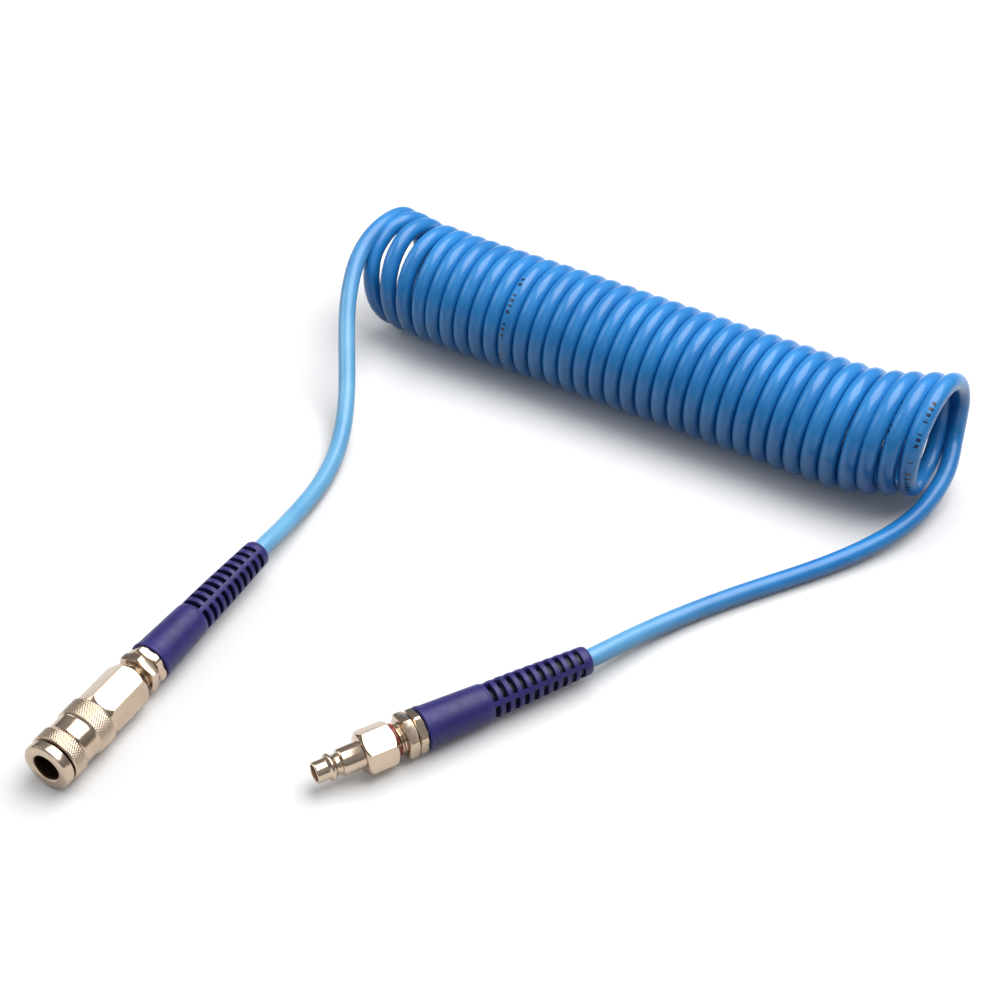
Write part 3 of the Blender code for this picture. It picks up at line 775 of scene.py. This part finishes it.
def make_plug():
    outer = [(0, 4.8), (0.15, 5.1), (0.5, 5.3), (6.2, 5.3), (6.7, 5.75), (7.2, 6.6), (7.6, 6.9),
             (8.0, 6.95), (8.5, 6.8), (9.4, 6.1), (10.3, 5.4), (10.8, 5.2), (12.6, 5.2), (12.9, 5.5),
             (13.3, 6.4), (13.9, 6.75), (24.3, 6.75), (24.3, 9.5), (26.2, 11.65), (39.1, 11.65),
             (41.0, 9.5)]
    inner = [(0, 4.45), (0.3, 4.2), (27.5, 4.2), (29.0, 8.5), (40.4, 8.5), (41.0, 9.1)]
    obj = hex_piece("nipple", loop(outer, inner), PLUG, 20.2, -94.2, MATS["nickel"])
    ride(obj, ROOT, "nickel", "plug_nipple")


def make_sealant():
    """Cured thread sealant, squeezed out unevenly."""
    steps, sides = 120, 14
    rng = np.random.default_rng(7)
    angle = around(steps)
    lump = sum(a * np.cos(k * angle + p) for k, a, p in
               zip((2, 3, 5, 9, 14), (0.16, 0.12, 0.09, 0.06, 0.04), rng.uniform(0, 6.28, 5)))
    wander = sum(a * np.cos(k * angle + p) for k, a, p in
                 zip((1, 3, 4, 7), (0.18, 0.12, 0.1, 0.06), rng.uniform(0, 6.28, 4)))
    rows = []
    for k in range(sides):
        a = 2 * math.pi * k / sides
        radius = 8.18 + (0.26 + 0.5 * lump) * math.cos(a)
        t = 42.0 + 1.5 * wander + (0.65 + 1.5 * lump) * math.sin(a)
        rows.append(np.stack([radius * np.cos(angle), radius * np.sin(angle), t], 1))
    obj = grid("sealant_bead", rows, MATS["sealant"], PLUG, wrap_rows=True)
    smooth(obj, 60)
    ride(obj, ROOT, "sealant", "thread_seal_plug")


def finish_cad_nodes():
    """Hidden inner pieces keep their CAD shape and get their material."""
    for node, mat in (("plug_seal", "rubber"), ("barrel_seal", "rubber"), ("valve_seal", "rubber"),
                      ("valve_poppet", "brass"), ("sleeve_spring", "spring"),
                      ("valve_spring", "spring")):
        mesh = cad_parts[node].data
        mesh.materials.clear()
        mesh.materials.append(MATS[mat])


# ---- stage ------------------------------------------------------------------------------------
FLOOR_HALF = 4.0                             # metres


def make_stage():
    mesh = bpy.data.meshes.new("floor")
    half = FLOOR_HALF
    mesh.from_pydata([(-half, -half, 0), (half, -half, 0), (half, half, 0), (-half, half, 0)], [],
                     [(0, 1, 2, 3)])
    n = Nodes("floor_paper")
    set_shader(n, Roughness=0.9)
    n.shader.inputs["Base Color"].default_value = (0.80, 0.80, 0.80, 1.0)
    n.shader.inputs["Specular IOR Level"].default_value = 0.1
    floor = link("floor", mesh, n.mat)
    floor.location.z = -0.0002
    floor.visible_diffuse = False          # the floor doesn't light the undersides


def area_light(name, place, aim, size, power):
    data = bpy.data.lights.new(name, "AREA")
    data.shape = "RECTANGLE"
    data.size, data.size_y = size
    data.energy = power
    obj = bpy.data.objects.new(name, data)
    bpy.context.scene.collection.objects.link(obj)
    obj.location = place
    obj.rotation_euler = (Vector(aim) - Vector(place)).to_track_quat("-Z", "Y").to_euler()


def make_lights():
    area_light("overhead", (0.30, 0.50, 1.5), (0.0, 0.0, 0.0), (1.8, 1.4), 36.0)
    area_light("left", (-1.5, -0.3, 1.1), (0.0, 0.0, 0.0), (0.9, 1.2), 7.0)
    area_light("front", (0.9, -1.6, 1.3), (0.0, 0.0, 0.0), (0.8, 0.8), 1.6)
    world = bpy.data.worlds.new("studio")
    bpy.context.scene.world = world
    world.use_nodes = True
    tree = world.node_tree
    back = tree.nodes["Background"]
    coords = tree.nodes.new("ShaderNodeTexCoord")
    split = tree.nodes.new("ShaderNodeSeparateXYZ")
    height = tree.nodes.new("ShaderNodeMapRange")
    for key, value in (("From Min", -0.25), ("From Max", 0.55), ("To Min", 0.10), ("To Max", 0.38)):
        height.inputs[key].default_value = value
    tree.links.new(coords.outputs["Generated"], split.inputs[0])
    tree.links.new(split.outputs["Z"], height.inputs["Value"])
    tree.links.new(height.outputs["Result"], back.inputs["Strength"])
    back.inputs["Color"].default_value = (0.96, 0.97, 1.0, 1.0)
    bpy.context.scene.view_settings.view_transform = "Standard"


make_camera()
make_hose()
make_hose_end("coupler", COUPLER, COUPLER_STEM_T, COUPLER_END_HEX, COUPLER_NUT_HEX, COUPLER_RIB)
make_hose_end("plug", PLUG, PLUG_STEM_T, PLUG_END_HEX, PLUG_NUT_HEX, PLUG_RIB)
make_lock_sleeve()
make_barrel()
make_balls()
make_coupler_body()
make_plug()
make_sealant()
finish_cad_nodes()
make_stage()
make_lights()
